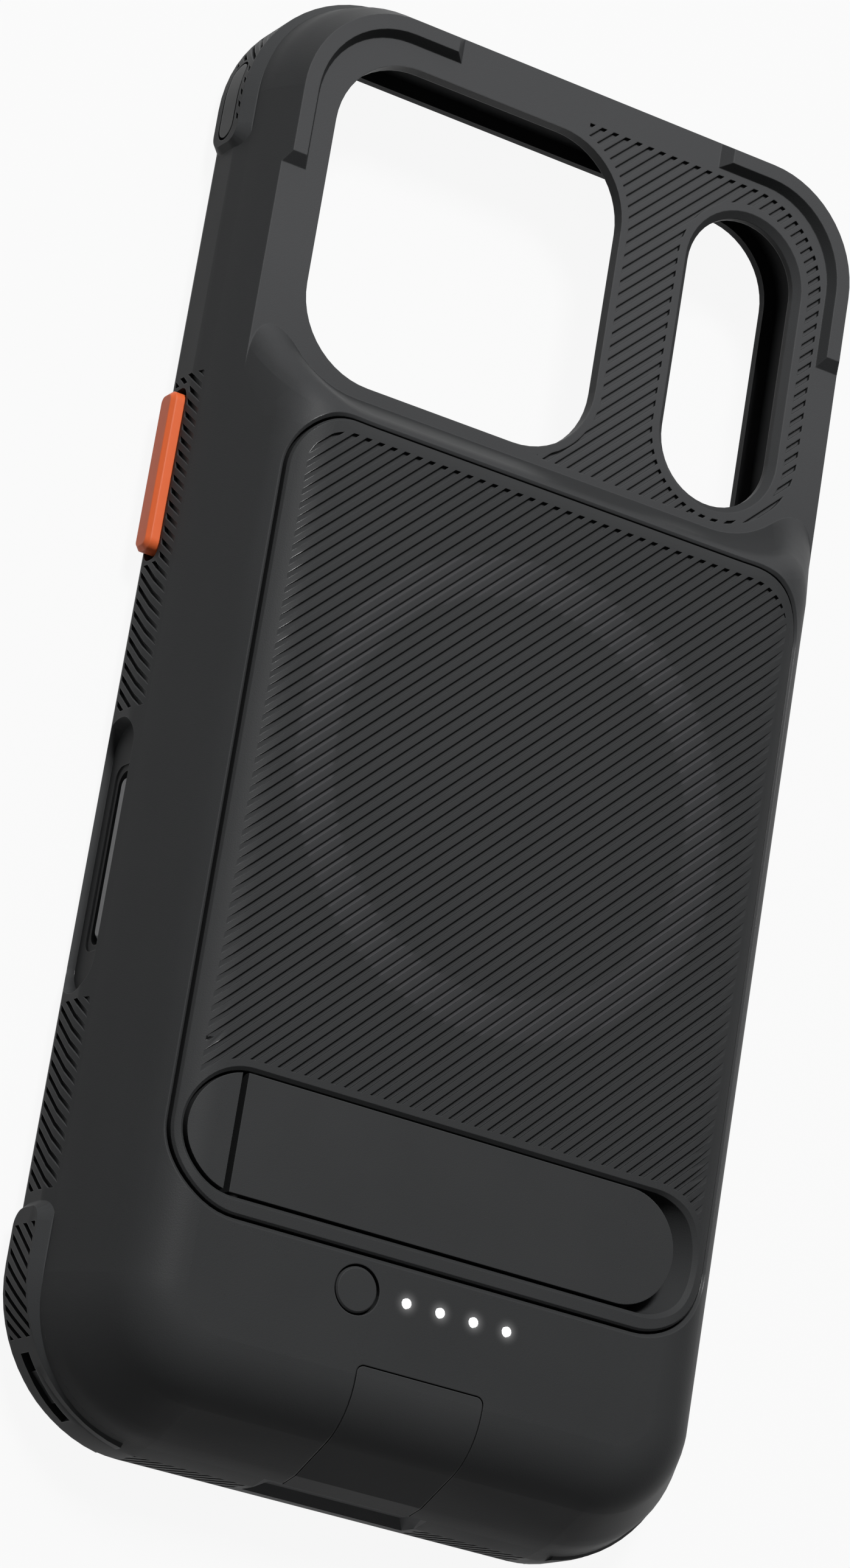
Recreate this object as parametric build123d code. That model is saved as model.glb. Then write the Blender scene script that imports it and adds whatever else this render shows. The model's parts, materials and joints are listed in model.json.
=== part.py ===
from build123d import *
import os
from math import atan, cos, degrees, radians, tan

os.makedirs("parts", exist_ok=True)

# Rugged battery charging case, lying on its open front with its back up.
# Millimetres. X runs across, Y towards the camera end (the head), Z out of the back.
# The origin is on the ground under the middle of the case.

# Hand-held device that the cavity fits
device_width = 71.9
device_length = 150.0
device_depth = 8.75
device_corner = 10.5
device_gap = 0.15

# Case body: walls round the device, flanks and rolled top edge
side_wall = 4.5
head_wall = 3.8
chin_length = 15.5
case_height = 21.5
corner_radius = 16.0
band_drop = 0.9
knee_reach = 2.5
lip_height = 1.05
lip_overlap = 1.7
lip_inset = 1.7
lip_knee_inset = 0.7
lip_knee = 0.7
lip_round = 2.4
flank_angle = 28.0
roll_radius = 8.0

# Camera deck and the end of the hump, measured from the head
deck_rise = 4.1
deck_wall = 1.6
hump_foot_from_head = 37.8
hump_corner = 11.0
hump_end_angle = 60.0
ramp_from_head = 49.5
ramp_from_side = 4.8
ramp_corner = 12.0
ramp_angle = 33.0
ramp_blend = 4.0
plate_pocket_edge = 1.1
camera_width = 38.4
camera_length = 39.35
camera_corner = 9.6
camera_from_side = 27.6
camera_from_head = 28.2
flash_width = 14.8
flash_length = 35.9
flash_from_side = 17.2
flash_from_head = 28.5
flash_bevel = 0.8

# Corner ridges on the deck
ridge_height = 1.2
ridge_width = 3.1
ridge_angle = 30.0
ridge_from_side = 22.8
ridge_from_head = 25.4

# Ribs
rib_pitch = 1.16
rib_groove = 0.52
rib_depth = 0.45
rib_angle = 45.0
rib_margin = 1.6
deck_rib_depth = 0.45
deck_rib_edge = 0.95
deck_field_from_head = 6.6
deck_field_from_ridge = 0.6
grip_pitch = 1.2
grip_groove = 0.55
grip_depth = 0.55
grip_angle = 128.0
grip_edge = 0.8

# Back panel and its magnet ring
panel_from_side = 7.0
panel_from_head = 55.1
panel_from_foot = 24.45
panel_head_corner = 7.2
panel_foot_corner = 8.6
panel_drop = 3.5
panel_gap = 0.3
panel_rim = 0.4
panel_edge = 0.25
panel_wall = 1.4
ring_outer = 54.5
ring_inner = 45.2
ring_sides = 36
ring_thickness = 1.5
ring_offset = 1.35
ring_gap = 0.15

# Kickstand
well_from_foot = 33.2
well_from_side = 8.15
well_width = 13.6
well_edge = 1.2
well_rim = 0.4
stand_gap = 0.3
stand_from_side = 11.95
stand_lift = 0.2
split_from_side = 13.95
split_gap = 0.75
hinge_inset = 1.2
hinge_rise = 1.9
nose_round = 1.15
pin_diameter = 1.2
pin_seat = 0.6
pin_clearance = 0.05

# Status button and lights
status_from_foot = 20.3
button_x = -9.4
button_diameter = 5.0
button_gap = 0.25
button_edge = 0.2
button_flange = 6.4
button_flange_height = 0.6
light_x = -3.2
light_pitch = 4.2
light_count = 4
light_diameter = 1.1
light_sides = 12
light_gap = 0.1
status_wall = 2.0
status_room = 0.3
pipe_width = 1.8
pipe_height = 1.2
pipe_end = 1.4

# Battery bay
bay_from_side = 8.2
bay_from_head = 54.3
bay_from_chin = 1.3
bay_corner = 4.0
cradle_thickness = 1.2
cradle_edge = 2.0
cradle_gap = 0.15
cradle_from_head = 51.2
cell_room = 1.4
cell_head_room = 0.5
board_thickness = 1.0
board_length = 19.0
board_room = 0.4
chip_size = (1.6, 0.8, 0.6)
switch_size = (4.0, 4.0, 1.0)
plunger_diameter = 1.8
plunger_room = 0.4
tab_width = 4.0
tab_gap = 1.5
tab_lap = 2.5
tab_thickness = 0.3
tab_spacing = 24.0

# Chin with the dock plug, the receptacle and the flap
chin_from_side = 8.6
chin_wall = 3.6
chin_floor = 2.4
chin_corner = 8.0
chin_gap = 0.2
plug_width = 8.25
plug_height = 2.4
plug_length = 6.4
plug_base = (14.0, 4.6, 4.4)
flap_half_width = 7.8
flap_from_foot = 12.5
flap_corner = 0.8
flap_thickness = 1.5
flap_gap = 0.15
flap_clear = 0.3
flap_overlap = 0.2
scoop_half_width = 9.0
scoop_height = 4.0
scoop_depth = 1.1
receptacle_width = 9.0
receptacle_height = 3.3
receptacle_length = 7.0
receptacle_wall = 0.35
receptacle_rise = 3.5
receptacle_from_foot = 5.2
tongue_width = 6.6
tongue_height = 0.7
tongue_set_back = 0.8

# Keys in the bumper, measured from the head
key_drop = 1.25
key_bevel = 0.5
key_corner = 1.2
key_end_gap = 0.8
key_side_gap = 0.25
key_flange = 0.8
key_flange_rim = 0.4
key_travel = 0.4
key_proud = 1.5
side_key_size = (19.0, 3.2)
side_key_from_head = 61.7
camera_key_size = (19.0, 3.0)
camera_key_from_head = 106.4
camera_key_proud = -0.1
camera_key_gap = 0.5
camera_seat_edge = 0.7
camera_seat_depth = 0.2
recess_length = 30.7
recess_width = 6.2
recess_depth = 1.4
recess_angle = 20.0
recess_drop = 1.0
volume_key_size = (11.0, 3.2)
volume_up_from_head = 57.3
volume_down_from_head = 71.8
action_key_size = (6.4, 3.2)
action_key_from_head = 43.8
grip_past_key = 2.2

# Corner guards, pads and lanyard slot
guard_proud = 0.7
guard_end = 0.1
guard_bevel = 1.2
guard_low = 0.9
guard_from_head = 22.9
guard_from_foot = 24.5
guard_from_side = 14.3
guard_foot_corner = 17.5
guard_tip = 3.0
pad_length = 9.4
pad_width = 2.9
pad_depth = 1.2
pad_groove = 0.35
pad_edge = 0.4
pad_z = 4.85
pad_from_head = 16.1
guard_grip_from_head = 5.2
guard_grip_from_foot = 9.4
lanyard_width = 2.2
lanyard_height = 1.9
lanyard_channel = 0.5
lanyard_bar = 2.0
lanyard_tunnel = 1.6
lanyard_spread = 21.0
lanyard_turn = 46.5
lanyard_z = 4.95

# Sound slots in the front of the chin
sound_count = 5
sound_pitch = 2.2
sound_slot = (0.9, 3.2)
sound_x = 18.5
sound_from_foot = 8.2

# Sizes that follow from these
half_width = side_wall + device_gap + device_width / 2
half_length = (head_wall + chin_length + device_length) / 2 + device_gap
seat_z = lip_height + device_depth + device_gap
device_mid = lip_height + device_depth / 2
band_top = seat_z - band_drop
deck_z = seat_z + deck_rise
panel_floor = case_height - panel_drop
bay_top = panel_floor - panel_wall
cavity_half = half_width - side_wall
cavity_high = half_length - head_wall
cavity_low = chin_length - half_length
cavity_corner = device_corner + device_gap
flank = tan(radians(flank_angle))
above = case_height + 1.0
deck_inset = (deck_z - band_top) * flank
knee_low = band_top - knee_reach
knee_top = band_top + knee_reach
knee_inset = knee_reach * flank
knee_angle = degrees(atan(flank / 2))
key_z = device_mid - key_drop
recess_z = device_mid - recess_drop


# Edges that a cut leaves along its upper rim
def upper_rim(before, cut, after):
    return new_edges(before, cut, combined=after).filter_by(lambda edge: edge.center().Z > panel_floor + 0.1)


# Rounded outline at a level, with its own corner radius at the foot and at the head
def outline(half_x, y_low, y_high, r_low, r_high, z=0.0):
    plate = Pos(0, (y_low + y_high) / 2) * Rectangle(2 * half_x, y_high - y_low)
    plate = fillet(plate.vertices().group_by(Axis.Y)[0], r_low)
    plate = fillet(plate.vertices().group_by(Axis.Y)[-1], r_high)
    return Pos(0, 0, z) * plate


# Outline of the case, drawn in on all sides
def case_outline(inset=0.0, z=0.0):
    r = corner_radius - inset
    return outline(half_width - inset, inset - half_length, half_length - inset, r, r, z)


# Upright prism between two levels
def prism(sketch, z_low, z_high):
    return Pos(0, 0, z_low) * extrude(sketch, z_high - z_low)


# Prism across the case, from a sketch drawn with Y to the right and Z up
def across(sketch, x_low, x_high):
    return extrude(Plane.YZ.offset(x_low) * sketch, x_high - x_low)


# Parallel stripes that fill a flat field, as flat faces
def stripes(field, pitch, width, angle):
    box = field.bounding_box()
    count = int(box.diagonal / pitch / 2) + 1
    bar = Rectangle(2 * box.diagonal, width)
    middle = Pos(box.center().X, box.center().Y) * Rot(0, 0, angle)
    return field & (Sketch() + [middle * Pos(0, pitch * k) * bar for k in range(-count, count + 1)])


# Outer form above the bumper: softened knee, flanks, and a hump with a sloping end and a rolled top edge
hump_foot = half_length - hump_foot_from_head
hump_rise = case_height - deck_z
hump_run = hump_rise * tan(radians(hump_end_angle))
far_foot = -2 * half_length
wedge = Polygon(
    (far_foot, deck_z),
    (hump_foot, deck_z),
    (hump_foot - hump_run, case_height),
    (far_foot, case_height),
    align=None,
)
hump = extrude(case_outline(deck_inset, deck_z), hump_rise, taper=flank_angle)
hump &= across(wedge, -2 * half_width, 2 * half_width)
slope_edges = hump.faces().sort_by(Axis.Y)[-1].edges()
hump = fillet(slope_edges.sort_by(lambda edge: abs(edge.center().X))[-2:], hump_corner)
hump = fillet(hump.faces().sort_by(Axis.Z)[-1].edges(), roll_radius)
outer_form = extrude(case_outline(knee_inset / 2, band_top), knee_reach, taper=knee_angle)
outer_form += extrude(case_outline(knee_inset, knee_top), deck_z - knee_top, taper=flank_angle)
outer_form += hump

# Ramp from the hump down to the camera deck, with a blended rim
ramp_y = half_length - ramp_from_head
ramp_plan = outline(half_width - ramp_from_side, ramp_y, 2 * half_length, ramp_corner, 1, deck_z)
ramp = extrude(ramp_plan, above - deck_z, taper=-ramp_angle)
ramped_form = outer_form - ramp
ramp_rim = new_edges(outer_form, ramp, combined=ramped_form)
outer_form = fillet(ramp_rim.filter_by(lambda edge: edge.center().Z > deck_z + 0.1), ramp_blend)
rear_shell = outer_form

# Corner ridges, L-shaped in plan, with bevelled ends
ridge_inset = deck_inset + ridge_width
ridge_ring = extrude(case_outline(deck_inset, deck_z), ridge_height, taper=flank_angle)
ridge_ring -= extrude(case_outline(ridge_inset, deck_z), ridge_height, taper=-ridge_angle)
for side in (-1, 1):
    patch = Pos(side * (1.5 * half_width - ridge_from_side), 1.5 * half_length - ridge_from_head, deck_z)
    rear_shell += ridge_ring & extrude(patch * Rectangle(half_width, half_length), ridge_height, taper=45)

# Device cavity, and the pocket above it for the raised camera plate
cavity_plan = outline(cavity_half, cavity_low, cavity_high, cavity_corner, cavity_corner)
rear_shell -= prism(cavity_plan, lip_height, seat_z)
pocket_half = cavity_half - plate_pocket_edge
pocket_low = ramp_y + deck_wall / 2
pocket_high = cavity_high - plate_pocket_edge
pocket_plan = outline(pocket_half, pocket_low, pocket_high, camera_corner, camera_corner)
rear_shell -= prism(pocket_plan, seat_z, deck_z - deck_wall)

# Camera and flash cut-outs
camera_place = Pos(camera_from_side - half_width, half_length - camera_from_head)
camera_window = camera_place * RectangleRounded(camera_width, camera_length, camera_corner)
flash_place = Pos(half_width - flash_from_side, half_length - flash_from_head)
flash_window = flash_place * SlotOverall(flash_length, flash_width, rotation=90)
rear_shell -= prism(camera_window, seat_z, above)
rear_shell -= prism(flash_window, seat_z, above)
rear_shell -= extrude(Pos(0, 0, deck_z - flash_bevel) * flash_window, flash_bevel + 0.2, taper=-45)

# Grooves of the deck, round the flash cut-out
field_side = half_width - ridge_inset - deck_field_from_ridge
field_head = half_length - deck_field_from_head
field_foot = ramp_y + deck_rib_edge
field_corner = ramp_corner - deck_rib_edge
deck_field = outline(field_side, field_foot, field_head, field_corner, field_corner)
deck_field &= Pos(half_width, 0) * Rectangle(2 * half_width, 4 * half_length)
deck_field -= offset(camera_window, deck_rib_edge)
deck_field -= offset(flash_window, flash_bevel + deck_rib_edge)
deck_grooves = stripes(deck_field, rib_pitch, rib_groove, rib_angle)
rear_shell -= prism(deck_grooves, deck_z - deck_rib_depth, deck_z + 0.2)

# Pocket of the back panel, with a level floor and a bevelled rim
panel_half = half_width - panel_from_side
panel_head = half_length - panel_from_head
panel_foot = panel_from_foot - half_length
panel_plan = outline(panel_half, panel_foot, panel_head, panel_foot_corner, panel_head_corner)
panel_pocket = prism(offset(panel_plan, panel_gap), panel_floor, above)
pocketed_shell = rear_shell - panel_pocket
rear_shell = chamfer(upper_rim(rear_shell, panel_pocket, pocketed_shell), panel_rim)

# Back panel: a plate with a level underside and a bevelled edge
panel_block = prism(panel_plan, panel_floor, above)
back_panel = panel_block & outer_form
back_panel = chamfer(upper_rim(panel_block, outer_form, back_panel), panel_edge)

# Well of the kickstand, with a bevelled rim and a finger scoop that leans out past the end of the bar
well_y = well_from_foot - half_length
well_half = half_width - well_from_side
bar_high = half_width - stand_from_side
well_low = well_width / 2 - well_half
well_high = bar_high + stand_gap - well_width / 2
well_place = Pos((well_low + well_high) / 2, well_y, panel_floor)
well_plan = well_place * SlotCenterToCenter(well_high - well_low, well_width)
well = extrude(well_plan, above - panel_floor)
scoop_lean = Vector(well_half - bar_high - stand_gap, 0, panel_drop)
well += extrude(well_plan, scoop_lean.length * (above - panel_floor) / panel_drop, dir=scoop_lean)
welled_panel = back_panel - well
back_panel = chamfer(upper_rim(back_panel, well, welled_panel), well_rim)

# Magnet ring in the underside of the panel
ring_y = (panel_head + well_y + well_width / 2) / 2 + ring_offset
ring_seat = panel_floor + ring_thickness
ring_rim = RegularPolygon(ring_outer / 2, ring_sides)
ring_seat_plan = offset(ring_rim, ring_gap, kind=Kind.INTERSECTION)
back_panel -= prism(Pos(0, ring_y) * ring_seat_plan, panel_floor, ring_seat)
ring_plan = ring_rim - RegularPolygon(ring_inner / 2, ring_sides)
magnet_ring = prism(Pos(0, ring_y) * ring_plan, panel_floor, ring_seat)

# Diagonal ribs of the panel, which run out in its rolled edges and stop short of the kickstand
rib_field = offset(panel_plan, -rib_margin)
rib_field -= Pos(0, well_y) * SlotOverall(2 * (well_half + well_edge), well_width + 2 * well_edge)
rib_field -= Pos(0, well_y - half_length) * Rectangle(2 * half_width, 2 * half_length)
back_panel -= prism(stripes(rib_field, rib_pitch, rib_groove, rib_angle), case_height - rib_depth, above)

# Kickstand: a bar on a cross pin, beside a fixed cap
stand_width = well_width - 2 * stand_gap
stand_low = panel_floor + stand_lift
split_x = split_from_side - half_width
bar_low = split_x + split_gap / 2
hinge_x = bar_low + hinge_inset
hinge_z = stand_low + hinge_rise
bar_plan = Pos((bar_low + bar_high) / 2, well_y) * Rectangle(bar_high - bar_low, stand_width)
bar_plan = fillet(bar_plan.vertices().group_by(Axis.X)[-1], stand_width / 2 - 0.01)
kickstand_bar = prism(bar_plan, stand_low, above) & outer_form
nose = kickstand_bar.edges().filter_by(Axis.Y).group_by(Axis.X)[0].sort_by(Axis.Z)[0]
kickstand_bar = fillet(nose, nose_round)
pin_length = well_width + 2 * pin_seat
pin_place = Pos(hinge_x, well_y, hinge_z) * Rot(90, 0, 0)
hinge_pin = pin_place * Cylinder(pin_diameter / 2, pin_length)
pin_bore = pin_place * Cylinder(pin_diameter / 2 + pin_clearance, pin_length)
kickstand_bar -= pin_bore
back_panel -= pin_bore
cap_plan = Pos(0, well_y) * SlotOverall(2 * (well_half - stand_gap), stand_width)
cap_plan &= Pos(split_x - split_gap / 2 - half_width, well_y) * Rectangle(2 * half_width, well_width)
kickstand_cap = prism(cap_plan, panel_floor, above) & outer_form

# Battery bay, closed by the cradle plate
bay_half = half_width - bay_from_side
bay_low = cavity_low + bay_from_chin
bay_high = half_length - bay_from_head
rear_shell -= prism(outline(bay_half, bay_low, bay_high, bay_corner, bay_corner), seat_z, bay_top)
cradle_low = cavity_low + cradle_gap
cradle_high = half_length - cradle_from_head
cradle_plan = outline(bay_half + cradle_edge, cradle_low, cradle_high, cavity_corner, bay_corner)
cradle_top = seat_z + cradle_thickness
rear_shell -= prism(offset(cradle_plan, cradle_gap), seat_z, cradle_top)
cradle_plate = prism(cradle_plan, seat_z, cradle_top)

# Control board against the roof of the bay, with its switch and light chips
status_y = status_from_foot - half_length
board_low = bay_low + board_room
board_half = bay_half - cell_room
board_plan = outline(board_half, board_low, board_low + board_length, bay_corner, bay_corner)
control_board = prism(board_plan, bay_top - board_thickness, bay_top)
light_places = [Pos(light_x + light_pitch * k, status_y) for k in range(light_count)]
light_chips = [place * Pos(0, 0, bay_top + chip_size[2] / 2) * Box(*chip_size) for place in light_places]
switch_top = bay_top + switch_size[2]
tact_switch = Pos(button_x, status_y, bay_top + switch_size[2] / 2) * Box(*switch_size)
plunger_top = case_height - status_wall - button_flange_height - plunger_room
tact_switch += prism(Pos(button_x, status_y) * Circle(plunger_diameter / 2), switch_top, plunger_top)

# Battery cell, with two tabs that reach under the board
cell_low = board_low + board_length + tab_gap
cell_high = bay_high - cell_room
cell_plan = outline(bay_half - cell_room, cell_low, cell_high, bay_corner - cell_room, bay_corner - cell_room)
battery_cell = prism(cell_plan, cradle_top, bay_top - cell_head_room)
tab_z = bay_top - board_thickness - tab_thickness / 2
tab_y = cell_low - (tab_gap + tab_lap) / 2
tab_box = Box(tab_width, tab_gap + tab_lap, tab_thickness)
cell_tabs = [Pos(x, tab_y, tab_z) * tab_box for x in (-tab_spacing / 2, tab_spacing / 2)]

# Status button and light pipe in a pocket above the board
status_top = case_height - status_wall
last_light = light_x + light_pitch * (light_count - 1)
pocket_low_x = button_x - button_flange / 2 - status_room
pocket_high_x = last_light + pipe_end + status_room
pocket_middle = Pos((pocket_low_x + pocket_high_x) / 2, status_y)
status_pocket = pocket_middle * Rectangle(pocket_high_x - pocket_low_x, button_flange + 2 * status_room)
rear_shell -= prism(status_pocket, bay_top, status_top)
button_place = Pos(button_x, status_y)
rear_shell -= prism(button_place * Circle(button_diameter / 2 + button_gap), status_top, above)
status_button = prism(button_place * Circle(button_diameter / 2), status_top, above) & outer_form
status_button = chamfer(status_button.edges().sort_by(Axis.Z)[-1], button_edge)
flange_low = status_top - button_flange_height
status_button += prism(button_place * Circle(button_flange / 2), flange_low, status_top)
pipe_bar = Rectangle(last_light - light_x + 2 * pipe_end, pipe_width)
light_pipe = prism(Pos((light_x + last_light) / 2, status_y) * pipe_bar, status_top - pipe_height, status_top)
lens = RegularPolygon(light_diameter / 2, light_sides)
lens_hole = RegularPolygon(light_diameter / 2 + light_gap, light_sides)
for place in light_places:
    rear_shell -= prism(place * lens_hole, status_top, above)
    light_pipe += prism(place * lens, status_top, above) & outer_form

# Chin block of the shell, which carries the dock plug
chin_half = half_width - chin_from_side
chin_low = chin_wall - half_length
rear_shell += prism(outline(chin_half, chin_low, cavity_low, chin_corner, chin_gap), chin_floor, band_top)
base_place = Pos(0, cavity_low - plug_base[1] / 2, device_mid)
rear_shell -= base_place * Box(*plug_base)
plug_plane = Plane.XZ.offset(-cavity_low) * Pos(0, device_mid)
dock_plug = base_place * Box(*plug_base)
dock_plug += extrude(plug_plane * SlotOverall(plug_width, plug_height), -plug_length)

# Charging receptacle in the slanted bottom end
receptacle_front = receptacle_from_foot - half_length
receptacle_back = receptacle_front + receptacle_length
receptacle_z = band_top + receptacle_rise
mouth_plane = Plane.XZ.offset(-receptacle_front) * Pos(0, receptacle_z)
receptacle_plan = SlotOverall(receptacle_width, receptacle_height)
charge_receptacle = extrude(mouth_plane * receptacle_plan, -receptacle_length)
mouth = SlotOverall(receptacle_width - 2 * receptacle_wall, receptacle_height - 2 * receptacle_wall)
charge_receptacle -= extrude(mouth_plane * mouth, receptacle_wall - receptacle_length)
tongue_place = Pos(0, (receptacle_front + tongue_set_back + receptacle_back) / 2, receptacle_z)
charge_receptacle += tongue_place * Box(tongue_width, receptacle_length - tongue_set_back, tongue_height)
socket_width = receptacle_width + 2 * flap_clear
socket_height = receptacle_height + 2 * flap_clear
socket = Box(socket_width, half_length, socket_height, align=(Align.CENTER, Align.MAX, Align.CENTER))
rear_shell -= Pos(0, receptacle_back, receptacle_z) * socket


# Section through the bottom end of the case, drawn with Y to the right and Z up
brow = (case_height - band_top) * flank - half_length
end_section = Polygon(
    (0, 0),
    (0, case_height),
    (brow, case_height),
    (knee_inset - half_length, knee_top),
    (-half_length, knee_low),
    (-half_length, 0),
    align=None,
)
end_section = fillet(end_section.vertices().sort_by_distance((brow, case_height, 0))[0], roll_radius)

# Port flap, a strip of the bottom end that wraps over its edge
flap_top = flap_from_foot - half_length
flap_bottom = band_top - flap_overlap
flap_plan = Pos(0, flap_top) * Rectangle(2 * flap_half_width, half_length, align=(Align.CENTER, Align.MAX))
flap_plan = fillet(flap_plan.vertices().group_by(Axis.Y)[-1], flap_corner)
flap_strip = end_section - offset(end_section, -flap_thickness)
port_flap = prism(flap_plan, flap_bottom, above) & across(flap_strip, -half_width, half_width)
recess_strip = Rectangle(4 * half_length, 4 * above) - offset(end_section, -flap_thickness - flap_clear)
flap_recess = prism(offset(flap_plan, flap_gap), flap_bottom - flap_gap, above)
flap_recess &= across(recess_strip, -half_width, half_width)
rear_shell -= flap_recess

# Bumper frame: soft band round the cavity, with a rounded front edge and a leaning top
lip_angle = degrees(atan((lip_inset - lip_knee_inset) / lip_knee))
round_angle = degrees(atan(lip_knee_inset / (lip_round - lip_knee)))
band = extrude(case_outline(lip_inset), lip_knee, taper=-lip_angle)
band += extrude(case_outline(lip_knee_inset, lip_knee), lip_round - lip_knee, taper=-round_angle)
band += prism(case_outline(), lip_round, knee_low)
band += extrude(case_outline(0, knee_low), knee_reach, taper=knee_angle)

# Corner guards, proud of the band on the long sides, with bevelled rims and rounded tips
guard_x = half_width + guard_proud
guard_y = half_length + guard_end
guard_plan = outline(guard_x, -guard_y, guard_y, guard_foot_corner, corner_radius + guard_proud)
guard_ring = prism(guard_plan, guard_low, band_top)
guard_rims = guard_ring.edges().group_by(Axis.Z)
guard_ring = chamfer(guard_rims[0] + guard_rims[-1], guard_bevel)
guard_ring -= band
bumper = band
guard_head = half_length - guard_from_head
guard_foot = guard_from_foot - half_length
for side in (-1, 1):
    for y_near, y_far in ((guard_head, 2 * half_length), (guard_foot, -2 * half_length)):
        tip = RectangleRounded(abs(y_far - y_near), band_top - guard_low, guard_tip)
        tip = Pos((y_near + y_far) / 2, (band_top + guard_low) / 2) * offset(tip, -guard_bevel)
        reach = extrude(Plane.YZ.offset(side * guard_x) * tip, -side * guard_from_side, taper=-45)
        bumper += guard_ring & reach

# Cavity, front opening and chin bay
bumper -= prism(cavity_plan, lip_height, above)
lip_corner = cavity_corner - lip_overlap
lip_low = cavity_low + lip_overlap
lip_high = cavity_high - lip_overlap
bumper -= prism(outline(cavity_half - lip_overlap, lip_low, lip_high, lip_corner, lip_corner), -1, above)
chin_bay = outline(chin_half + chin_gap, chin_low - chin_gap, lip_low, chin_corner + chin_gap, chin_gap)
bumper -= prism(chin_bay, chin_floor, above)

# Flap notch with a finger scoop below it
bumper -= flap_recess
scoop = Pos(0, band_top) * Rectangle(2 * scoop_half_width, 2 * scoop_height)
bumper -= extrude(Plane.XZ.offset(half_length - scoop_depth) * scoop, 2 * scoop_depth, taper=-45)

# Sound slots in the front of the chin
sound_y = sound_from_foot - half_length
for side in (-1, 1):
    for k in range(sound_count):
        slot_x = side * sound_x + sound_pitch * (k - (sound_count - 1) / 2)
        bumper -= prism(Pos(slot_x, sound_y) * Rectangle(*sound_slot), -1, chin_floor)

# Lanyard loop in the foot corner on the near side: two holes that meet behind a bar
corner_x = guard_foot_corner - guard_x
corner_y = guard_foot_corner - guard_y
corner_turn = Pos(corner_x, corner_y, lanyard_z) * Rot(0, 0, lanyard_turn)
loop_radius = guard_foot_corner - lanyard_bar - lanyard_tunnel / 2
loop_length = 2 * radians(lanyard_spread / 2) * loop_radius + lanyard_width
bumper -= corner_turn * Pos(-loop_radius, 0) * Box(lanyard_tunnel, loop_length, lanyard_height)
bumper -= corner_turn * Pos(-guard_foot_corner, 0) * Box(2 * lanyard_channel, loop_length, lanyard_height)
for turn in (-lanyard_spread / 2, lanyard_spread / 2):
    hole = Box(2 * lanyard_bar + lanyard_tunnel, lanyard_width, lanyard_height)
    bumper -= corner_turn * Rot(0, 0, turn) * Pos(-loop_radius - lanyard_bar, 0) * hole

# Keys through the wall of the bumper, each with a flange behind it
key_inner = cavity_half + key_travel
recess_floor = half_width - recess_depth
side_key_y = half_length - side_key_from_head
camera_key_y = half_length - camera_key_from_head
volume_down_y = half_length - volume_down_from_head
recess_plan = Pos(camera_key_y, recess_z) * SlotOverall(recess_length, recess_width)
bumper -= extrude(Plane.YZ.offset(-recess_floor) * recess_plan, -2 * recess_depth, taper=-recess_angle)
seat_rim = 2 * (camera_key_gap + camera_seat_edge)
seat_size = (camera_key_size[0] + seat_rim, camera_key_size[1] + seat_rim)
seat_plan = Pos(camera_key_y, device_mid) * RectangleRounded(*seat_size, camera_key_size[1] / 2)
bumper -= across(seat_plan & recess_plan, -recess_floor, camera_seat_depth - recess_floor)


# Key and the hole for it, on the far side
def press_key(place, size, face_x, end_gap, side_gap):
    core = place * RectangleRounded(*size, key_corner)
    key = across(core, key_inner, face_x)
    key = chamfer(key.edges().group_by(Axis.X)[-1], key_bevel)
    rim = (size[0] + 2 * (end_gap + key_flange_rim), size[1] + 2 * (side_gap + key_flange_rim))
    key += across(place * Rectangle(*rim), key_inner, key_inner + key_flange)
    mouth = RectangleRounded(size[0] + 2 * end_gap, size[1] + 2 * side_gap, size[1] / 2)
    hole = across(place * mouth, key_inner, half_width + 2 * key_proud)
    pocket = place * Rectangle(rim[0] + 2 * key_side_gap, rim[1] + 2 * key_side_gap)
    return key, hole + across(pocket, cavity_half - key_travel, key_inner + key_flange)


nodes = {}
key_face = half_width + key_proud
camera_face = recess_floor + camera_key_proud
raised = (key_face, key_end_gap, key_side_gap)
sunk = (camera_face, camera_key_gap, camera_key_gap)
keys = (
    ("side_key", -1, Pos(side_key_y, key_z), side_key_size, raised),
    ("camera_key", -1, Pos(camera_key_y, device_mid), camera_key_size, sunk),
    ("volume_up_key", 1, Pos(half_length - volume_up_from_head, key_z), volume_key_size, raised),
    ("volume_down_key", 1, Pos(volume_down_y, key_z), volume_key_size, raised),
    ("action_key", 1, Pos(half_length - action_key_from_head, key_z), action_key_size, raised),
)
for name, side, place, size, fit in keys:
    key, hole = press_key(place, size, *fit)
    nodes[name] = key if side > 0 else mirror(key, Plane.YZ)
    bumper -= hole if side > 0 else mirror(hole, Plane.YZ)

# Grip grooves of the long sides, which run out in the leaning top of the band
grip_low = lip_round + grip_edge / 4


# Flat field of grooves on a side of the case
def grip_field(low, high, z_high):
    return Pos((low + high) / 2, (grip_low + z_high) / 2) * Rectangle(high - low, z_high - grip_low)


recess_end = recess_length / 2 + recess_depth * tan(radians(recess_angle)) + grip_edge
foot_field = grip_field(guard_foot + grip_edge, camera_key_y - recess_end, band_top)
grip_head = side_key_y + side_key_size[0] / 2 + grip_past_key
near_field = foot_field + grip_field(camera_key_y + recess_end, grip_head, band_top)
key_edge = (side_key_size[0] + 2 * key_end_gap + grip_edge, side_key_size[1] + 2 * key_side_gap + grip_edge)
near_field -= Pos(side_key_y, key_z) * Rectangle(*key_edge)
lowest_key = volume_down_y - volume_key_size[0] / 2 - key_end_gap
far_field = foot_field + grip_field(camera_key_y + recess_end, lowest_key - grip_edge, band_top)
for side, field in ((-1, near_field), (1, far_field)):
    x = side * half_width
    bumper -= across(stripes(field, grip_pitch, grip_groove, grip_angle), x - grip_depth, x + grip_depth)

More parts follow.
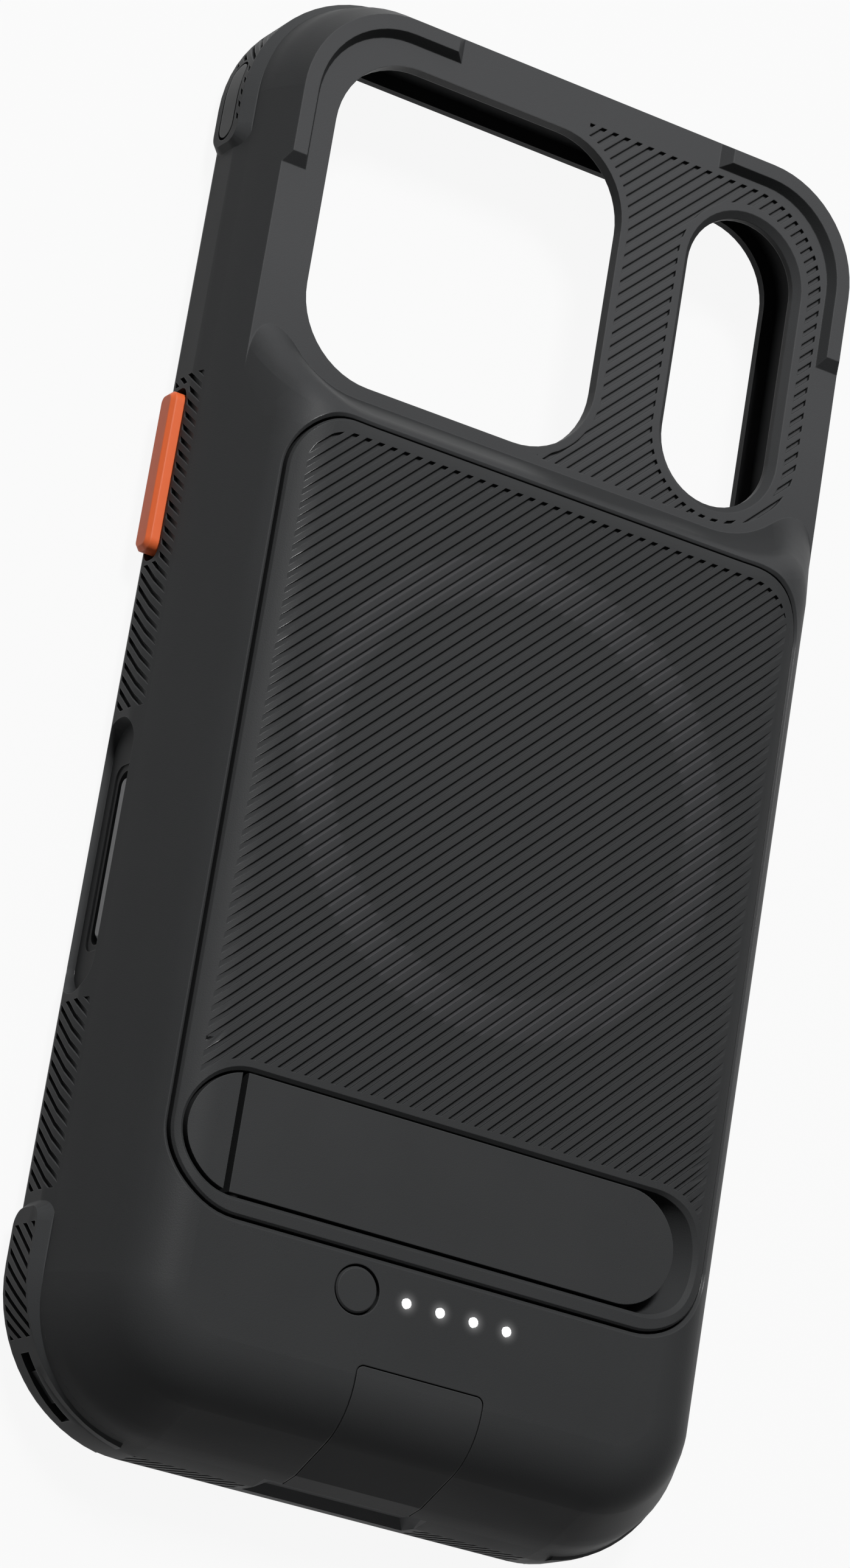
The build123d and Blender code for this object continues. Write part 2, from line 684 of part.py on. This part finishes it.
# Grip grooves of the bottom edge, on either side of the scoop
bottom_half = half_width - corner_radius
bottom_field = grip_field(-bottom_half, bottom_half, knee_low)
bottom_field -= Rectangle(2 * (scoop_half_width + scoop_depth + grip_edge), 4 * case_height)
bottom_grooves = stripes(bottom_field, grip_pitch, grip_groove, 180 - grip_angle)
bumper -= extrude(Plane.XZ.offset(half_length - grip_depth) * bottom_grooves, 2 * grip_depth)

# Pads let into the head guards, and grip grooves cut to one depth round all four guards
pad_place = Pos(half_length - pad_from_head, pad_z)
pad_hollow = pad_place * SlotOverall(pad_length + 2 * pad_groove, pad_width + 2 * pad_groove)
pad_layer = prism(guard_plan, 0, band_top) - prism(offset(guard_plan, -pad_depth), 0, band_top)
grip_layer = prism(guard_plan, 0, band_top) - prism(offset(guard_plan, -grip_depth), 0, band_top)
guard_high = band_top - guard_bevel - grip_edge / 4
guard_field = grip_field(guard_head + guard_tip, half_length - guard_grip_from_head, guard_high)
pad_rim = 2 * (pad_groove + pad_edge)
guard_field -= pad_place * SlotOverall(pad_length + pad_rim, pad_width + pad_rim)
guard_field += grip_field(guard_grip_from_foot - half_length, guard_foot - guard_tip, guard_high)
guard_stripes = stripes(guard_field, grip_pitch, grip_groove, grip_angle)
for name, side in (("corner_pad_near", -1), ("corner_pad_far", 1)):
    start, stop = sorted((side * (half_width - corner_radius), side * (guard_x + 1)))
    bumper -= across(guard_stripes, start, stop) & grip_layer
    bumper -= across(pad_hollow, start, stop) & pad_layer
    nodes[name] = across(pad_place * SlotOverall(pad_length, pad_width), start, stop) & pad_layer

nodes |= {
    "rear_shell": rear_shell,
    "back_panel": back_panel,
    "bumper_frame": bumper,
    "magnet_ring": magnet_ring,
    "kickstand_bar": kickstand_bar,
    "kickstand_cap": kickstand_cap,
    "hinge_pin": hinge_pin,
    "status_button": status_button,
    "light_pipe": light_pipe,
    "cradle_plate": cradle_plate,
    "battery_cell": battery_cell,
    "control_board": control_board,
    "tact_switch": tact_switch,
    "dock_plug": dock_plug,
    "charge_receptacle": charge_receptacle,
    "port_flap": port_flap,
}
nodes |= {f"light_chip_{k + 1}": chip for k, chip in enumerate(light_chips)}
nodes |= {f"cell_tab_{k + 1}": tab for k, tab in enumerate(cell_tabs)}
for name, shape in nodes.items():
    export_step(shape, f"parts/{name}.step")
    print(name, round(shape.volume, 1), len(shape.solids()))
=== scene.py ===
import json
import math

import bpy
from mathutils import Matrix, Vector

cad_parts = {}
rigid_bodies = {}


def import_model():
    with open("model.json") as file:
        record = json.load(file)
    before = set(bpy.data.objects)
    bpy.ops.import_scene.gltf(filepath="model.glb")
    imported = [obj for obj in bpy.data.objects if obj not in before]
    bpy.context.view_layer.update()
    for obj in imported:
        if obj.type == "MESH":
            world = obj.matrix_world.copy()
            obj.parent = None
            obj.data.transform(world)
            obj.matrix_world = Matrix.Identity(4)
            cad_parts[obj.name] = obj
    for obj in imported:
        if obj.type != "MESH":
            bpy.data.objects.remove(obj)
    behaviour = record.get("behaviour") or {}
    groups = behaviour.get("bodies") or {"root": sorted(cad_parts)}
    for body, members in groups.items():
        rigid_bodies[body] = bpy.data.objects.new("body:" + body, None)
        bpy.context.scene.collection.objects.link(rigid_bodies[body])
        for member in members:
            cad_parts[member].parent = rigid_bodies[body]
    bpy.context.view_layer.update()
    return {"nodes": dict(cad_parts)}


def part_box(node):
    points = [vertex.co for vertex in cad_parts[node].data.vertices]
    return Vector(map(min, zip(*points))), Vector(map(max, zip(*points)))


for leftover in list(bpy.data.objects):
    bpy.data.objects.remove(leftover)

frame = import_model()
pieces = frame["nodes"]
scene = bpy.context.scene
mm = 0.001
nodeSpacing = 220
print("frame loaded:", len(pieces), "pieces")


# helpers for node trees: an input takes a link from another socket or a plain value

def feed(tree, socket, source):
    if isinstance(source, bpy.types.NodeSocket):
        tree.links.new(source, socket)
    else:
        socket.default_value = source


def addNode(tree, kind, props=None, inputs=None):
    made = tree.nodes.new(kind)
    made.location = (nodeSpacing * len(tree.nodes), 0)
    for key, value in (props or {}).items():
        setattr(made, key, value)
    for key, source in (inputs or {}).items():
        feed(tree, made.inputs[key], source)
    return made


def addMath(tree, operation, first, second=0.0):
    return addNode(tree, "ShaderNodeMath", {"operation": operation}, {0: first, 1: second}).outputs[0]


def addVector(tree, operation, first, second=None):
    made = addNode(tree, "ShaderNodeVectorMath", {"operation": operation}, {0: first})
    if second is not None:
        feed(tree, made.inputs["Scale" if operation == "SCALE" else 1], second)
    return made.outputs["Value" if operation in ("LENGTH", "DOT_PRODUCT") else "Vector"]


def addSplit(tree, vector):
    return addNode(tree, "ShaderNodeSeparateXYZ", None, {0: vector}).outputs


def addFade(tree, value, start, end, low=0.0, high=1.0):
    limits = {"Value": value, "From Min": start, "From Max": end, "To Min": low, "To Max": high}
    return addNode(tree, "ShaderNodeMapRange", None, limits).outputs[0]


mixSlots = {"VECTOR": (4, 5, 1), "RGBA": (6, 7, 2)}  # first input, second input, output


def addMix(tree, kind, factor, first, second):
    firstSlot, secondSlot, result = mixSlots[kind]
    sources = {0: factor, firstSlot: first, secondSlot: second}
    return addNode(tree, "ShaderNodeMix", {"data_type": kind}, sources).outputs[result]


def fromMiddle(tree, middle):  # place of a surface point, in millimetres from the middle given
    coords = addNode(tree, "ShaderNodeTexCoord")
    return addVector(tree, "SCALE", addVector(tree, "SUBTRACT", coords.outputs["Object"], middle), 1 / mm)


def startGroup(name, kind, inputs, outputs):
    tree = bpy.data.node_groups.new(name, kind)
    for label, socketType, value in inputs:
        socket = tree.interface.new_socket(label, in_out="INPUT", socket_type=socketType)
        if value is not None:
            socket.default_value = value
    for label, socketType in outputs:
        tree.interface.new_socket(label, in_out="OUTPUT", socket_type=socketType)
    return tree, addNode(tree, "NodeGroupInput").outputs, addNode(tree, "NodeGroupOutput").inputs


def startMaterial(name):
    made = bpy.data.materials.new(name)
    made.use_nodes = True
    made.node_tree.nodes.clear()
    return made, made.node_tree


def finishMaterial(tree, shader):
    addNode(tree, "ShaderNodeOutputMaterial", None, {"Surface": shader.outputs[0]})


# flank normals: the two shallow bends of the flanks shade as one curve, all other edges stay as they are

bendSet = {
    "pieces": ("rear_shell", "bumper_frame"), "room": 0.03, "steepest": 0.5,
    "bends": ({"height": 6.55, "lean": 7.45}, {"height": 11.55, "lean": 21.45}),
}


def buildFlankNormals():
    tree, given, result = startGroup(
        "flankNormals", "GeometryNodeTree",
        [("Geometry", "NodeSocketGeometry", None)], [("Geometry", "NodeSocketGeometry")],
    )
    normal = addNode(tree, "GeometryNodeInputNormal").outputs["Normal"]
    height = addSplit(tree, addNode(tree, "GeometryNodeInputPosition").outputs[0])["Z"]
    outward = addVector(tree, "NORMALIZE", addVector(tree, "MULTIPLY", normal, (1, 1, 0)))
    rise = addMath(tree, "ABSOLUTE", addSplit(tree, normal)["Z"])
    steep = addNode(
        tree, "FunctionNodeCompare", {"operation": "LESS_THAN"}, {"A": rise, "B": bendSet["steepest"]},
    )
    chosen = normal
    for bend in bendSet["bends"]:
        lean = math.radians(bend["lean"])
        there = addNode(
            tree, "FunctionNodeCompare", {"operation": "EQUAL"},
            {"A": height, "B": bend["height"] * mm, "Epsilon": bendSet["room"] * mm},
        )
        onFlank = addNode(
            tree, "FunctionNodeBooleanMath", {"operation": "AND"}, {0: there.outputs[0], 1: steep.outputs[0]},
        )
        leaning = addVector(
            tree, "ADD", addVector(tree, "SCALE", outward, math.cos(lean)), (0, 0, math.sin(lean)),
        )
        pick = addNode(
            tree, "GeometryNodeSwitch", {"input_type": "VECTOR"},
            {"Switch": onFlank.outputs[0], "False": chosen, "True": leaning},
        )
        chosen = pick.outputs[0]
    bent = addNode(
        tree, "GeometryNodeSetMeshNormal", {"mode": "FREE", "domain": "CORNER"},
        {"Mesh": given["Geometry"], "Custom Normal": chosen},
    )
    feed(tree, result["Geometry"], bent.outputs[0])
    return tree


flankNormals = buildFlankNormals()
for name in bendSet["pieces"]:
    pieces[name].modifiers.new("flankNormals", "NODES").node_group = flankNormals
print("flank normals set")


# shared effect: the fine etched grain of a mould, with broad uneven patches

grainSet = {
    "Height": {"sizeInput": "Grain Size", "detail": 2.0, "rough": 0.6},
    "Patches": {"sizeInput": "Patch Size", "detail": 4.0, "rough": 0.55},
}


def buildMouldGrain():
    tree, given, result = startGroup(
        "mouldGrain", "ShaderNodeTree",
        [("Grain Size", "NodeSocketFloat", 0.2), ("Patch Size", "NodeSocketFloat", 14.0)],
        [("Height", "NodeSocketFloat"), ("Patches", "NodeSocketFloat")],
    )
    place = fromMiddle(tree, (0, 0, 0))
    for label, noise in grainSet.items():
        scale = addMath(tree, "DIVIDE", 1.0, given[noise["sizeInput"]])
        cloud = addNode(
            tree, "ShaderNodeTexNoise", None,
            {"Vector": place, "Scale": scale, "Detail": noise["detail"], "Roughness": noise["rough"]},
        )
        feed(tree, result[label], cloud.outputs["Fac"])
    return tree


# shared effect: a moulded edge radius, with a mask of where it is, left out along a flush seam

edgeSet = {"samples": 4, "flat": 0.99, "sharp": 0.75, "seamNear": 0.3, "seamFar": 0.7}


def buildEdgeRadius():
    tree, given, result = startGroup(
        "edgeRadius", "ShaderNodeTree",
        [("Radius", "NodeSocketFloat", 0.2), ("Seam Height", "NodeSocketFloat", -100.0)],
        [("Normal", "NodeSocketVector"), ("Mask", "NodeSocketFloat")],
    )
    radius = addMath(tree, "MULTIPLY", given["Radius"], mm)
    rounded = addNode(tree, "ShaderNodeBevel", {"samples": edgeSet["samples"]}, {"Radius": radius}).outputs[0]
    plain = addNode(tree, "ShaderNodeNewGeometry").outputs["Normal"]
    bend = addFade(tree, addVector(tree, "DOT_PRODUCT", rounded, plain), edgeSet["flat"], edgeSet["sharp"])
    height = addSplit(tree, fromMiddle(tree, (0, 0, 0)))["Z"]
    offSeam = addMath(tree, "ABSOLUTE", addMath(tree, "SUBTRACT", height, given["Seam Height"]))
    clear = addFade(tree, offSeam, edgeSet["seamNear"], edgeSet["seamFar"])
    feed(tree, result["Normal"], addMix(tree, "VECTOR", clear, plain, rounded))
    feed(tree, result["Mask"], addMath(tree, "MULTIPLY", bend, clear))
    return tree


mouldGrain = buildMouldGrain()
edgeRadius = buildEdgeRadius()
print("shared effects built")


# one moulded finish: a base colour that drifts in patches, a lighter edge that is partly wear and partly a
# painted highlight, grain and uneven roughness

def mouldedFinish(name, look, *names):
    material, tree = startMaterial(name)
    grain = addNode(
        tree, "ShaderNodeGroup", {"node_tree": mouldGrain},
        {"Grain Size": look["grainSize"], "Patch Size": look["patchSize"]},
    ).outputs
    edge = addNode(
        tree, "ShaderNodeGroup", {"node_tree": edgeRadius},
        {"Radius": look["edgeRadius"], "Seam Height": look["seam"]},
    ).outputs
    patched = addMix(tree, "RGBA", grain["Patches"], (*look["color"], 1), (*look["patchColor"], 1))
    # lighter colour along the edges: partly wear, partly a painted highlight
    edgeWearAndHighlightShare = addMath(tree, "MULTIPLY", edge["Mask"], look["edgeWearAndHighlightAmount"])
    bump = addNode(
        tree, "ShaderNodeBump", None,
        {
            "Strength": look["grainStrength"], "Distance": look["grainDepth"] * mm,
            "Height": grain["Height"], "Normal": edge["Normal"],
        },
    )
    shader = addNode(
        tree, "ShaderNodeBsdfPrincipled", None,
        {
            "Base Color": addMix(tree, "RGBA", edgeWearAndHighlightShare, patched, (*look["edgeWearAndHighlightColor"], 1)),
            "Roughness": addFade(tree, grain["Patches"], 0.0, 1.0, *look["rough"]),
            "Coat Weight": addMath(tree, "MULTIPLY", edge["Mask"], look["edgeCoat"]),
            "Coat Roughness": look["coatRough"], "IOR": look["ior"], "Specular IOR Level": look["specular"],
            "Normal": bump.outputs[0],
        },
    )
    finishMaterial(tree, shader)
    for piece in names:
        for slot in pieces[piece].material_slots:
            slot.material = material
    return tree, shader


def tint(tree, shader, mask, color):  # another base colour where the mask is
    base = shader.inputs["Base Color"]
    feed(tree, base, addMix(tree, "RGBA", mask, base.links[0].from_socket, (*color, 1)))


# rear shell: soft-touch charcoal plastic, with the glow of the lights painted on it as emission, and a
# painted sheen that makes the camera deck paler

shellLook = {
    "color": (0.034, 0.035, 0.036), "patchColor": (0.040, 0.041, 0.042), "edgeWearAndHighlightColor": (0.085, 0.087, 0.090),
    "rough": (0.42, 0.52), "grainSize": 0.16, "grainStrength": 0.30, "grainDepth": 0.05, "patchSize": 16.0,
    "edgeWearAndHighlightAmount": 0.5, "edgeRadius": 0.20, "edgeCoat": 0.6, "coatRough": 0.25, "seam": 9.05,
    "ior": 1.46, "specular": 0.09,
}
haloLook = {
    "count": 4, "endRoom": 1.4, "inner": 0.5, "outer": 1.8, "fade": 2.6,
    "color": (1.0, 1.0, 1.0), "strength": 0.12,
}
deckSheenLook = {"from": 5.0, "to": 50.0, "steep": 0.6, "level": 0.9, "color": (0.060, 0.061, 0.063)}
tree, shader = mouldedFinish("shellPlastic", shellLook, "rear_shell")
pipeLow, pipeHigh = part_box("light_pipe")
firstLight = pipeLow[0] + haloLook["endRoom"] * mm
lastLight = pipeHigh[0] - haloLook["endRoom"] * mm
nearest = None
for index in range(haloLook["count"]):
    across = firstLight + (lastLight - firstLight) * index / (haloLook["count"] - 1)
    reach = addVector(
        tree, "LENGTH", fromMiddle(tree, (across, (pipeLow[1] + pipeHigh[1]) / 2, pipeHigh[2])),
    )
    nearest = reach if nearest is None else addMath(tree, "MINIMUM", nearest, reach)
# painted glow: the shell plastic emits light around each light, standing in for the light they throw on it
halo = addFade(tree, nearest, haloLook["outer"], haloLook["inner"])
glow = addMath(tree, "POWER", halo, haloLook["fade"])
feed(
    tree, shader.inputs["Emission Color"],
    addMix(tree, "RGBA", glow, (0, 0, 0, 1), (*haloLook["color"], 1)),
)
shader.inputs["Emission Strength"].default_value = haloLook["strength"]
# painted sheen: upward-facing shell towards the head end, over the camera deck, is made paler
upward = addSplit(tree, addNode(tree, "ShaderNodeNewGeometry").outputs["Normal"])["Z"]
headward = addFade(tree, addSplit(tree, fromMiddle(tree, (0, 0, 0)))["Y"], deckSheenLook["from"], deckSheenLook["to"])
level = addFade(tree, upward, deckSheenLook["steep"], deckSheenLook["level"])
tint(tree, shader, addMath(tree, "MULTIPLY", headward, level), deckSheenLook["color"])

# back panel: the same plastic, a little paler over the magnet ring and in the grooves there

panelLook = dict(
    shellLook, color=(0.035, 0.036, 0.037), patchColor=(0.040, 0.041, 0.042), rough=(0.46, 0.54),
    patchSize=22.0, edgeRadius=0.12, edgeWearAndHighlightAmount=0.45, edgeWearAndHighlightColor=(0.075, 0.077, 0.080),
)
ringLook = {
    "innerShare": 0.83, "softness": 0.25, "lift": 0.2, "color": (0.052, 0.052, 0.055),
    "grooveTop": -0.05, "grooveFloor": -0.2, "grooveColor": (0.060, 0.060, 0.063),
}
tree, shader = mouldedFinish("panelPlastic", panelLook, "back_panel")
ringLow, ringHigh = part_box("magnet_ring")
ringMiddle = tuple((low + high) / 2 for low, high in zip(ringLow, ringHigh))
ringOuter = (ringHigh[0] - ringLow[0]) / 2 / mm
ringInner = ringOuter * ringLook["innerShare"]
soft = ringLook["softness"]
radius = addVector(tree, "LENGTH", addVector(tree, "MULTIPLY", fromMiddle(tree, ringMiddle), (1, 1, 0)))
withinOuter = addFade(tree, radius, ringOuter + soft, ringOuter - soft)
beyondInner = addFade(tree, radius, ringInner - soft, ringInner + soft)
band = addMath(tree, "MULTIPLY", withinOuter, beyondInner)
sunken = addSplit(tree, fromMiddle(tree, (0, 0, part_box("back_panel")[1][2])))["Z"]
inGroove = addFade(tree, sunken, ringLook["grooveTop"], ringLook["grooveFloor"])
tint(tree, shader, addMath(tree, "MULTIPLY", band, ringLook["lift"]), ringLook["color"])
tint(tree, shader, addMath(tree, "MULTIPLY", band, inGroove), ringLook["grooveColor"])
surface = addNode(tree, "ShaderNodeNewGeometry").outputs
rounded = shader.inputs["Normal"].links[0].from_socket
steady = addMix(tree, "VECTOR", surface["Backfacing"], rounded, surface["True Normal"])
feed(tree, shader.inputs["Normal"], steady)  # a facet seen from behind shades flat

# kickstand, flap and button: the same charcoal, finer grain, a brighter rim on the button from a stronger
# painted highlight and a glossier coat

standLook = dict(
    shellLook, color=(0.036, 0.037, 0.038), patchColor=(0.041, 0.042, 0.043), rough=(0.46, 0.54),
    grainSize=0.13, grainStrength=0.25, patchSize=10.0, edgeRadius=0.14, edgeWearAndHighlightAmount=0.6,
)
mouldedFinish("standPlastic", standLook, "kickstand_bar", "kickstand_cap", "port_flap")
buttonLook = dict(standLook, edgeWearAndHighlightAmount=0.8, edgeCoat=1.0)
mouldedFinish("buttonPlastic", buttonLook, "status_button")
print("hard plastic painted")

# bumper: rubber of the same charcoal, with painted light making its upward-facing faces such as the guards'
# bevels paler, and painted fill light making the finger scoop at the foot paler

bumperLook = dict(
    shellLook, color=(0.032, 0.033, 0.034), patchColor=(0.038, 0.039, 0.040), rough=(0.46, 0.58),
    grainSize=0.12, grainStrength=0.28, patchSize=9.0, edgeRadius=0.10, ior=1.5,
)
guardLightLook = {"steep": 0.35, "level": 0.6, "color": (0.050, 0.0515, 0.053)}
scoopLightLook = {
    "halfWidth": 10.2, "outside": -84.75, "inside": -83.5, "foot": 3.8, "color": (0.100, 0.102, 0.105),
}
tree, shader = mouldedFinish("bumperRubber", bumperLook, "bumper_frame")
# painted light: bumper faces that lean upward are made paler
upward = addSplit(tree, addNode(tree, "ShaderNodeNewGeometry").outputs["True Normal"])["Z"]
tint(tree, shader, addFade(tree, upward, guardLightLook["steep"], guardLightLook["level"]), guardLightLook["color"])
# painted fill light: the finger scoop at the foot, which lies in shade, is made paler
place = addSplit(tree, fromMiddle(tree, (0, 0, 0)))
inScoop = addMath(tree, "LESS_THAN", addMath(tree, "ABSOLUTE", place["X"]), scoopLightLook["halfWidth"])
for operation, axis, limit in (
    ("GREATER_THAN", "Y", "outside"), ("LESS_THAN", "Y", "inside"), ("GREATER_THAN", "Z", "foot"),
):
    inScoop = addMath(tree, "MULTIPLY", inScoop, addMath(tree, operation, place[axis], scoopLightLook[limit]))
tint(tree, shader, inScoop, scoopLightLook["color"])

# keys and pads: smoother than the bumper, with no seam to keep clear of

keyLook = dict(
    bumperLook, color=(0.044, 0.045, 0.046), patchColor=(0.052, 0.053, 0.054), rough=(0.36, 0.46),
    edgeRadius=0.2, seam=-100.0,
)
mouldedFinish(
    "keyPlastic", keyLook,
    "volume_up_key", "volume_down_key", "action_key", "corner_pad_near", "corner_pad_far",
)
# camera key: a pale touch surface, its colour raised further as painted light against the shade of its recess
touchLook = dict(
    keyLook, color=(0.190, 0.193, 0.199), patchColor=(0.215, 0.219, 0.225), rough=(0.30, 0.38), specular=0.3,
)
mouldedFinish("touchKey", touchLook, "camera_key")
orangeLook = dict(
    keyLook, color=(0.70, 0.125, 0.036), patchColor=(0.74, 0.140, 0.042), edgeWearAndHighlightColor=(0.84, 0.25, 0.11),
    rough=(0.40, 0.50), grainSize=0.14, grainStrength=0.22, grainDepth=0.03, patchSize=6.0,
    edgeRadius=0.25, edgeCoat=0.4, ior=1.46, specular=0.3,
)
mouldedFinish("orangePlastic", orangeLook, "side_key")
print("rubber and keys painted")

# light pipe: frosted lenses that glow

lensLook = dict(
    shellLook, color=(0.85, 0.86, 0.88), patchColor=(0.92, 0.92, 0.93), edgeWearAndHighlightColor=(0.95, 0.95, 0.95),
    rough=(0.25, 0.35),
)
lensGlow = {"color": (1.0, 1.0, 1.0, 1.0), "strength": 1.2}
tree, shader = mouldedFinish("lensPlastic", lensLook, "light_pipe")
shader.inputs["Emission Color"].default_value = lensGlow["color"]
shader.inputs["Emission Strength"].default_value = lensGlow["strength"]

# inner pieces: cradle and switch, light chips, cell, board and plated metal

cradleLook = dict(
    shellLook, color=(0.030, 0.030, 0.031), rough=(0.60, 0.70), grainSize=0.3, grainStrength=0.5,
    specular=0.2,
)
mouldedFinish("cradlePlastic", cradleLook, "cradle_plate", "tact_switch")
chipLook = dict(lensLook, color=(0.80, 0.78, 0.66), patchColor=(0.84, 0.82, 0.70))
mouldedFinish("chipPlastic", chipLook, "light_chip_1", "light_chip_2", "light_chip_3", "light_chip_4")
foilLook = dict(
    shellLook, color=(0.32, 0.33, 0.35), patchColor=(0.40, 0.41, 0.42), edgeWearAndHighlightColor=(0.6, 0.6, 0.6),
    rough=(0.30, 0.45), specular=0.5,
)
mouldedFinish("cellFoil", foilLook, "battery_cell")
boardLook = dict(
    shellLook, color=(0.010, 0.060, 0.028), patchColor=(0.014, 0.075, 0.034), edgeWearAndHighlightColor=(0.05, 0.10, 0.06),
    rough=(0.35, 0.5), specular=0.5,
)
mouldedFinish("boardLacquer", boardLook, "control_board")
metalLook = dict(
    shellLook, color=(0.46, 0.46, 0.47), patchColor=(0.52, 0.52, 0.53), edgeWearAndHighlightColor=(0.7, 0.7, 0.7),
    rough=(0.28, 0.40), grainStrength=0.1, specular=0.5,
)
tree, shader = mouldedFinish(
    "platedMetal", metalLook, "hinge_pin", "charge_receptacle", "magnet_ring", "cell_tab_1", "cell_tab_2",
)
shader.inputs["Metallic"].default_value = 1.0

# dock plug: a plated shell on a black base

plugLook = {"baseLength": 4.6, "color": (0.55, 0.55, 0.56)}
tree, shader = mouldedFinish("plugMetal", cradleLook, "dock_plug")
plugLow = tuple(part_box("dock_plug")[0])
along = addSplit(tree, fromMiddle(tree, plugLow))["Y"]
isShell = addMath(tree, "GREATER_THAN", along, plugLook["baseLength"])
tint(tree, shader, isShell, plugLook["color"])
feed(tree, shader.inputs["Metallic"], isShell)
print("inner pieces painted")

# floor: white for the camera and in reflections, with the shadow kept

floorLook = {"size": 6.0, "drop": 0.2, "color": (0.42, 0.42, 0.42), "rough": 0.9, "glow": 0.92}
bpy.ops.mesh.primitive_plane_add(size=floorLook["size"], location=(0, 0, -floorLook["drop"] * mm))
floor = bpy.context.object
floor.name = "floor"
floorPaint, tree = startMaterial("floorPaint")
matte = addNode(
    tree, "ShaderNodeBsdfPrincipled", None,
    {"Base Color": (*floorLook["color"], 1), "Roughness": floorLook["rough"]},
)
white = addNode(tree, "ShaderNodeEmission", None, {"Color": (1, 1, 1, 1), "Strength": 1.0})
ray = addNode(tree, "ShaderNodeLightPath").outputs
seen = addMath(tree, "MAXIMUM", ray["Is Camera Ray"], ray["Is Glossy Ray"])
seen = addMath(tree, "MAXIMUM", seen, ray["Is Transmission Ray"])
share = addMath(tree, "MULTIPLY", seen, floorLook["glow"])
blend = addNode(tree, "ShaderNodeMixShader", None, {0: share, 1: matte.outputs[0], 2: white.outputs[0]})
finishMaterial(tree, blend)
floor.data.materials.append(floorPaint)

# studio light: a key from high at the head end, a soft box lower there, a weak fill and a low world

lamps = {
    "keyLamp": {"place": (-0.17, 0.52, 0.96), "size": 0.25, "power": 12.0},
    "headLamp": {"place": (-0.05, 0.77, 0.47), "size": 0.6, "power": 0.8},
    "deckLamp": {"place": (0.17, 0.26, 0.36), "size": 0.2, "power": 0.12},
}
lampTarget = Vector((0, 0, 0.01))
for name, lamp in lamps.items():
    data = bpy.data.lights.new(name, "AREA")
    data.size = lamp["size"]
    data.energy = lamp["power"]
    made = bpy.data.objects.new(name, data)
    made.location = lamp["place"]
    made.rotation_euler = (lampTarget - made.location).to_track_quat("-Z", "Y").to_euler()
    scene.collection.objects.link(made)
worldSet = {"Color": (1, 1, 1, 1), "Strength": 0.06}
world = bpy.data.worlds.new("studioWorld")
scene.world = world
world.use_nodes = True
for label, value in worldSet.items():
    world.node_tree.nodes["Background"].inputs[label].default_value = value
print("floor and lamps set")

# camera at the photograph's viewing angle

cameraSet = {
    "focalPixels": 8902.2, "imageHeight": 2576, "sensorHeight": 36.0, "place": (-0.27270, -0.18700, 0.51946),
    "right": (0.85064, 0.15505, 0.50237), "up": (-0.28309, 0.94026, 0.18914),
    "back": (-0.44303, -0.30311, 0.84371),
}
cameraData = bpy.data.cameras.new("camera")
cameraData.sensor_fit = "VERTICAL"
cameraData.sensor_height = cameraSet["sensorHeight"]
cameraData.lens = cameraSet["focalPixels"] / cameraSet["imageHeight"] * cameraSet["sensorHeight"]
camera = bpy.data.objects.new("camera", cameraData)
turn = Matrix((cameraSet["right"], cameraSet["up"], cameraSet["back"])).transposed()
camera.matrix_world = Matrix.Translation(cameraSet["place"]) @ turn.to_4x4()
scene.collection.objects.link(camera)
scene.camera = camera
scene.view_settings.view_transform = "Standard"
print("camera set")
